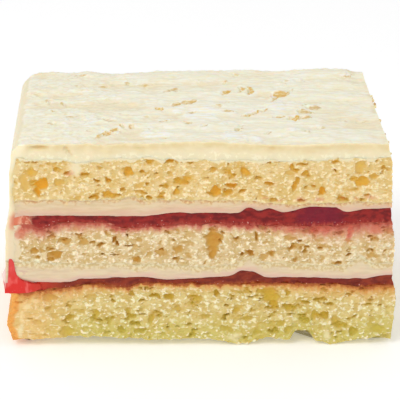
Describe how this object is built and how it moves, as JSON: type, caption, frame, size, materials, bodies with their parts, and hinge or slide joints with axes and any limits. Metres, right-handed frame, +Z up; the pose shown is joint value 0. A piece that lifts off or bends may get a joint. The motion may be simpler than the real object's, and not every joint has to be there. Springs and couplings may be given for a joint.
{
  "type": "strawberry cake slice",
  "caption": "Rectangular corner piece of a strawberry jam layer cake: sponge, jam and cream in turn under a spread frosting that runs down the two outer sides.",
  "frame": {"origin": "on the table, under the middle of the cake's bounding box", "axes": "+X to the right along the cut front, +Y from the cut front to the frosted back, +Z up"},
  "size_m": [0.102, 0.0662, 0.0563],
  "materials": {
    "base_crumb": "open baked sponge crumb, pale yellow with a green cast low down, browned crust on the two outer sides",
    "crumb": "open baked sponge crumb, pale golden yellow",
    "cream": "smooth ivory cream, pink where it meets the jam",
    "jam": "wet dark red strawberry jam",
    "frosting": "spread ivory buttercream, soft satin, with spatula marks"
  },
  "bodies": {
    "root": {"sponge_bottom": "base_crumb", "jam_lower": "jam", "cream_lower": "cream", "sponge_middle": "crumb", "jam_upper": "jam", "cream_upper": "cream", "sponge_top": "crumb", "frosting": "frosting"}
  },
  "joints": []
}
